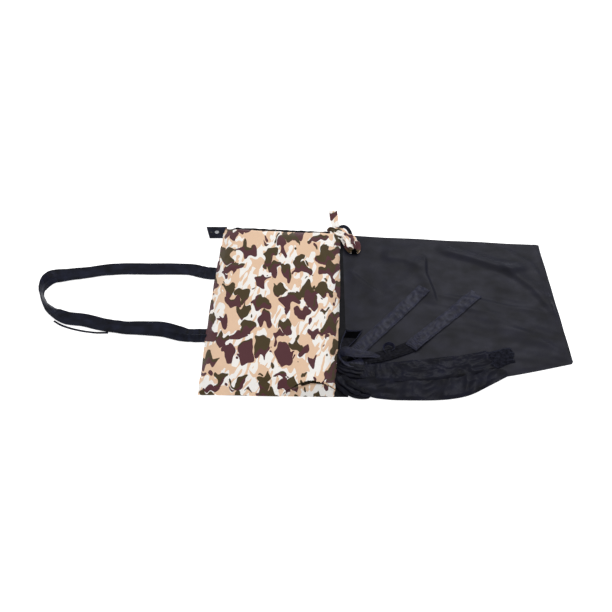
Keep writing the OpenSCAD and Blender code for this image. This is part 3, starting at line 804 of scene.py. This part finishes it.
def makeLegCloth():
    def place(u, v):
        nx, ny = onCurve(leg["near"], u)
        fx, fy = (a + (b - a) * u for a, b in zip(*leg["far"]))
        x, y = nx + (fx - nx) * v, ny + (fy - ny) * v
        # the corners are a little rounded, and the edges wander
        corner = smoothStep(0.985, 1, u)
        y += corner * (smoothStep(0.03, 0, v) * 5 - smoothStep(0.98, 1, v) * 2)
        x += smoothStep(0.9, 1, u) * 1.6 * ripple(y, 5, 70, 2)
        y += smoothStep(0.93, 1, v) * 1.1 * ripple(x, 3, 80, 6)
        z = leg["thickness"] + legLift(x, y)
        fromEnd, fromFar = (1 - u) * 525, (1 - v) * 500
        for away in (fromEnd, fromFar):
            z += 0.7 * smoothStep(leg["hem"], leg["hem"] - 1.5, away)
            z -= 0.5 * math.exp(-((away - leg["hem"] + 3) / 1.3) ** 2)
        return x, y, z

    piece = clothGrid("legCloth", 190, 180, place, (520, 500))
    useModifier(piece, "SOLIDIFY", thickness=leg["thickness"] * mm, offset=-1)
    finishPiece(piece, legPolyester,
                ("leg_cloth", "hem_far", "hem_end", "seam_tape"), shade=60)
    piece.data.materials.append(openingShade)
    for face in piece.data.polygons:
        spot = face.center / mm
        for x, y, long, wide in leg["shadePatches"]:
            # the painted shade goes only on the upper side: the cloth's back shows when it is folded up
            if face.normal.z > 0 and math.hypot((spot.x - x) / long, (spot.y - y) / wide) < 1:
                face.material_index = 1
    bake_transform(piece)


makeLegCloth()
print("leg cloth ready")

# ---- the two ties and the small loops

ties = {
    "thickness": 1.8,
    "stitch": 3.0,      # a row of stitching this far in from each edge
    "tieA": [
        (180, -150, 1.6, 26, 0), (193, -134, 1.2, 30, 0), (207, -119, 0.3, 33, 0), (247, -76, 0.2, 33, 0),
        (291, -27, 0.2, 33, 0), (330, 17, 0.2, 33, 0), (369, 60, 0.2, 33, 0),
    ],
    "roll": [
        (248, -152, 1.0, 8, 0), (228, -149, 6.0, 15, -6), (204, -150, 10.0, 20, -8),
        (182, -148, 12.0, 23, -10), (165, -145, 9.0, 22, -34), (154, -152, 3.0, 19, -72),
        (157, -165, 1.0, 19, -60), (170, -174, 0.8, 20, -28), (188, -172, 0.8, 22, -8),
        (206, -165, 0.6, 24, 0), (222, -160, 0.4, 25, 0),
    ],
    "tieBUnder": [
        (208, -162, 1.6, 22, 6), (222, -157, 1.2, 26, 6), (245, -151, 0.6, 28, 4), (270, -143, 0.4, 29, 4),
        (296, -132, 0.3, 30, 3), (318, -121, 0.2, 32, 0), (330, -114, 0.8, 33, 0),
    ],
    "tieBTop": [
        (322, -124, 2.2, 31, 0), (330, -114, 3.4, 33, 0), (346, -98, 2.6, 33, 0), (376, -70, 0.4, 33, 0),
        (419, -30, 0.2, 33, 0), (456, 5, 0.2, 33, 0), (497, 45, 0.2, 33, 0),
    ],
}


def tieRelief(across, along, width):
    inset = width / 2 - abs(across)
    stitch = -0.55 * math.exp(-((inset - ties["stitch"]) / 0.8) ** 2)
    rim = 0.45 * math.exp(-((inset - 1.2) / 1.0) ** 2)
    calm = smoothStep(0, 5, inset)
    slant = along + across * 0.2
    pleats = 0.9 * ripple(slant, across * 0.4, 6, 3) + 0.9 * crumple(slant, across * 1.2, 19, 7)
    return stitch + rim + calm * (pleats + 0.6) + 0.3


def rollGround(x, y):
    return max(legTop(x, y), 2.2) if x > 150 else 2.2


def makeTies():
    piece, length = layRibbon("tieA", ties["tieA"], ties["thickness"], 34, 170, tieRelief, legTop)
    finishPiece(piece, tieSatin, ("tie_a_root", "tie_a"))
    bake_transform(piece)

    # the part of tie B that runs underneath takes the darker cloth, as painted shade
    under, low = layRibbon("tieBUnder", ties["tieBUnder"], ties["thickness"], 30, 100, tieRelief, legTop)
    finishPiece(under, foldShadeCloth, ("tie_b_under",))
    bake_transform(under)

    roll, length = layRibbon("tieRoll", ties["roll"], ties["thickness"], 26, 150, tieRelief, rollGround)
    finishPiece(roll, tieSatin, ("tie_b_root",))
    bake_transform(roll)

    top, high = layRibbon("tieBTop", ties["tieBTop"], ties["thickness"], 34, 150, tieRelief, legTop)
    finishPiece(top, tieSatin, ("tie_b_top",), "tie_b")


loops = {
    "left": [(153, -142), (156, -116), (163, -90), (170, -72)],     # the tape's two edges
    "right": [(164, -146), (176, -122), (194, -100), (210, -73)],
    "rim": 4.0, "mouth": 23,
    "curl": [(265, -140, 0.2, 7, 40), (258, -131, 0.8, 8, 60), (260, -120, 1.4, 8, 66),
             (269, -115, 1.6, 9, 66), (279, -119, 1.6, 9, 66), (281, -128, 1.2, 8, 60),
             (274, -134, 0.6, 7, 40), (285, -139, 0.2, 7, 10)],
}


def makeLoops():
    # a short flattened tape; a dark patch of painted shade stands for the open mouth at its far end, its body
    # takes the darker cloth as painted shade, and its edges and lip take the lighter satin as a painted
    # highlight
    def place(u, v):
        a, b = onCurve(loops["left"], v), onCurve(loops["right"], v)
        x, y = (p + (q - p) * u for p, q in zip(a, b))
        edge = min(u, 1 - u) * math.dist(a, b)
        rim = loops["rim"] * (0.35 + 0.65 * v) * math.exp(-(edge / 2.4) ** 2)
        mouth = (1 - v) * 66
        lip = 2.4 * math.exp(-(mouth / 1.6) ** 2)
        lip -= 1.6 * smoothStep(loops["mouth"], loops["mouth"] - 4, mouth)
        fold = 0.7 * ripple(x, y, 12, 3)
        return x, y, max(legTop(x, y), 2.2) + 2.6 + rim + lip + fold

    piece = clothGrid("shortLoop", 40, 70, place, (36, 66))
    useModifier(piece, "SOLIDIFY", thickness=1.0 * mm, offset=-1)
    finishPiece(piece, foldShadeCloth, ("short_loop",))
    piece.data.materials.append(openingShade)
    piece.data.materials.append(tieSatin)
    # painted highlight on the edges and lip, painted shade in the mouth
    for face in piece.data.polygons:
        v = face.center / mm
        deep, along = lineDistance(v.x, v.y, [loops["left"][-1], loops["right"][-1]])
        side = min(abs(lineDistance(v.x, v.y, loops[edge])[0]) for edge in ("left", "right"))
        if side < 2.2 or abs(deep) < 1.6:
            face.material_index = 2
        elif abs(deep) < loops["mouth"]:
            face.material_index = 1
    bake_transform(piece)
    curl = layRibbon("curledLoop", loops["curl"], 1.2, 12, 60, None, legTop)[0]
    finishPiece(curl, tieSatin, ("curled_loop",), "leg_cloth")


makeTies()
makeLoops()
print("ties ready")

# ---- sash: gathered waistband, lower band, end patch and knot

sash = {
    "band": [
        (198, -196, 3.0, 34, 0), (214, -194, 2.6, 40, 0), (232, -193, 1.6, 44, 0),
        (240, -193, 0.8, 47, 0), (270, -193, 0.4, 53, 0), (300, -192, 0.3, 57, 0),
        (361, -187, 0.3, 62, 0), (408, -180, 0.3, 60, 0), (450, -173, 0.3, 57, 0), (504, -158, 0.3, 52, 0),
    ],
    "lowerTop": [(190, -216), (226, -213), (260, -212), (300, -214), (361, -211), (408, -204), (450, -196),
                 (506, -184), (536, -188)],
    "lowerEdge": [(190, -240), (222, -262), (260, -269), (300, -271), (354, -271), (400, -268), (446, -257),
                  (494, -231), (540, -204)],
    "patchTop": [(494, -138), (518, -132), (552, -124), (561, -138)],
    "patchEdge": [(507, -186), (524, -180), (548, -168), (560, -165)],
    "gather": [(150, -176, 18, 7), (158, -182, 26, 9), (172, -188, 32, 10), (188, -191, 34, 10),
               (204, -193, 34, 8), (218, -194, 30, 6)],
    "gatherFolds": {"around": 90, "rows": 120, "taper": 0.05, "folds": 7, "wind": 0.02,
                    "depth": 0.6, "drift": 1.2, "seed": 5},
    "knot": [(152, -204, 20, 8), (159, -222, 32, 12), (172, -239, 36, 15), (189, -251, 32, 15),
             (205, -257, 24, 12), (222, -259, 14, 6)],
    "knotFolds": {"around": 90, "rows": 120, "taper": 0.08, "folds": 5, "wind": 0.035,
                  "depth": 0.75, "drift": 1.4, "seed": 3},
}


def gatherGround(x, y):
    return legTop(x, y) if x > 172 else 2.2


def bandRelief(across, along, width):
    inset = width / 2 - abs(across)
    rim = smoothStep(0, 5, inset)
    slant = along + across * 0.25 + 9 * ripple(along, across, 40, 31)
    rough = 0.45 + 0.55 * smoothStep(120, 200, along)   # the free end is the more crumpled
    pleats = 1.0 * ripple(slant, across * 0.5, 8, 12) + 2.6 * rough * crumple(slant, across * 1.1, 30, 5)
    pleats += 1.0 * rough * crumple(slant, across * 1.3, 13, 9)
    hem = 0.7 * math.exp(-((inset - 1.4) / 1.1) ** 2)
    return 0.6 + rim * (1.6 + pleats) + hem


def makeSash():
    band, length = layRibbon("waistBand", sash["band"], 1.6, 34, 230, bandRelief, legTop)
    finishPiece(band, sashSatin, ("sash_waistband",))
    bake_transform(band)

    def lowerPlace(u, v):
        a, b = onCurve(sash["lowerEdge"], u), onCurve(sash["lowerTop"], u)
        x, y = a[0] + (b[0] - a[0]) * v, a[1] + (b[1] - a[1]) * v
        across = math.dist(a, b)
        # its far edge is sewn under the waistband but for one open stretch
        gape = smoothStep(372, 392, x) * smoothStep(446, 420, x)
        inset = v * across
        roll = smoothStep(0, 9, inset) * (1 - gape * smoothStep(9, 0, (1 - v) * across))
        slant = x - 0.35 * (y + 230)
        pleats = 2.0 * crumple(slant, y * 0.6, 44, 21) + 0.8 * crumple(slant, y * 0.8, 19, 25)
        pleats += 1.2 * smoothStep(330, 240, x) * math.cos((y + 240) / 4.5)
        for spot, deep in ((398, 1.6), (446, 2.0), (474, 1.6)):
            pleats += deep * math.exp(-((slant - spot) / 8) ** 2)
        ends = smoothStep(0, 0.03, u) * smoothStep(1, 0.94, u)
        z = 1.6 + (legTop(x, y) - 1.6) * smoothStep(-4, 6, y - legEdges(x)[0])
        hem = 0.6 * math.exp(-((inset - 1.5) / 1.2) ** 2)
        return x, y, z + 0.4 + roll * (1.4 + pleats * ends) + hem

    lower = clothGrid("lowerBand", 200, 44, lowerPlace, (320, 60))
    useModifier(lower, "SOLIDIFY", thickness=1.4 * mm, offset=-1)
    finishPiece(lower, sashSatin, ("sash_lower_band",))
    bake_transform(lower)

    def patchPlace(u, v):
        a, b = onCurve(sash["patchEdge"], u), onCurve(sash["patchTop"], u)
        x, y = a[0] + (b[0] - a[0]) * v, a[1] + (b[1] - a[1]) * v
        ragged = 5 * smoothStep(0.75, 1, u) * ripple(y, 2, 7, 3)
        inset = min(v, 1 - v) * 36
        z = legTop(x, y) + 2.0 + smoothStep(0, 5, inset) * (1.6 + 1.6 * crumple(x, y, 17, 2))
        return x + ragged, y + 3 * smoothStep(0.85, 1, v) * ripple(x, 1, 9, 4), z

    patch = clothGrid("endPatch", 50, 36, patchPlace, (56, 38))
    useModifier(patch, "SOLIDIFY", thickness=1.4 * mm, offset=-1)
    finishPiece(patch, velvetPatch, ("sash_end_patch",), "sash")

    # the gather and the knot take the darker satin, as painted shade
    gather = twistBundle("sashGather", sash["gather"], sash["gatherFolds"], gatherGround)
    finishPiece(gather, knotShadeSatin, ("sash_root",), shade=80)
    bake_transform(gather)

    knot = twistBundle("sashKnot", sash["knot"], sash["knotFolds"], gatherGround)
    finishPiece(knot, knotShadeSatin, ("sash_knot",), shade=80)
    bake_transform(knot)


makeSash()
print("sash ready")

# ---- camouflage closing tie

closing = {
    "bundle": [(130, 265, 12, 7), (141, 263, 20, 11), (151, 256, 28, 14), (162, 247, 30, 15),
               (173, 238, 26, 14), (181, 229, 28, 16), (188, 218, 34, 18), (193, 206, 36, 19),
               (197, 194, 34, 18), (199, 184, 26, 14), (199, 178, 12, 8)],
    "bundleFolds": {"around": 96, "rows": 170, "taper": 0.05, "folds": 6, "wind": 0.02,
                    "depth": 0.85, "drift": 1.6, "seed": 8},
    "tail": [(158, 262, 6.0, 20, 0), (156, 271, 4.0, 21, 0), (154, 280, 3.0, 22, 0), (151, 296, 3.0, 22, 0),
             (149, 314, 5.0, 22, 0), (147, 333, 7.0, 22, 0)],
    "mouth": (199, 181), "mouthSize": (7, 4.5),
    "keeper": [(116, 253, 1.6, 7, 0), (122, 257, 2.6, 7, 0), (130, 257, 2.6, 7, 0), (138, 253, 1.6, 7, 0)],
    "hanger": [(162, 262, 5.0, 9, 10), (166, 272, 5.0, 9.5, 20), (175, 275, 5.0, 9.5, 25),
               (184, 268, 5.0, 9.5, 20), (190, 255, 5.0, 9.5, 10), (194, 240, 3.0, 9, 5)],
}


def tailRelief(across, along, width):
    inset = width / 2 - abs(across)
    rough = smoothStep(0, 3, inset) * (0.9 * ripple(along, across, 9, 3) + 0.6)
    ridge = 1.6 * math.exp(-(across / 2.5) ** 2) * smoothStep(0, 20, along)
    return 0.4 + rough + ridge


def makeClosing():
    bundle = twistBundle("camoBow", closing["bundle"], closing["bundleFolds"], lambda x, y: 2.2)
    finishPiece(bundle, tieCotton, ("camo_bundle", "camo_knot", "camo_bow_loop"), shade=80)
    # the bow's end is closed; a dark patch of painted shade on it stands for its open mouth
    bundle.data.materials.append(openingShade)
    for face in bundle.data.polygons:
        spot = face.center / mm
        (x, y), (wide, deep) = closing["mouth"], closing["mouthSize"]
        away = math.hypot((spot.x - x) / wide, (spot.y - y) / deep)
        face.material_index = 1 if away < 1 and face.normal.y < 0 else 0
    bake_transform(bundle)

    tail, length = layRibbon("camoTail", closing["tail"], 1.6, 20, 60, tailRelief)
    finishPiece(tail, tailCotton, ("camo_tail_root", "camo_tail"))
    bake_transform(tail)

    keeper = layRibbon("keeperLoop", closing["keeper"], 1.2, 8, 30)[0]
    finishPiece(keeper, strapCloth, ("camo_keeper_loop",), "panel")
    hanger = layRibbon("hangerLoop", closing["hanger"], 1.2, 8, 50)[0]
    finishPiece(hanger, strapCloth)
    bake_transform(hanger)


makeClosing()
print("closing tie ready")
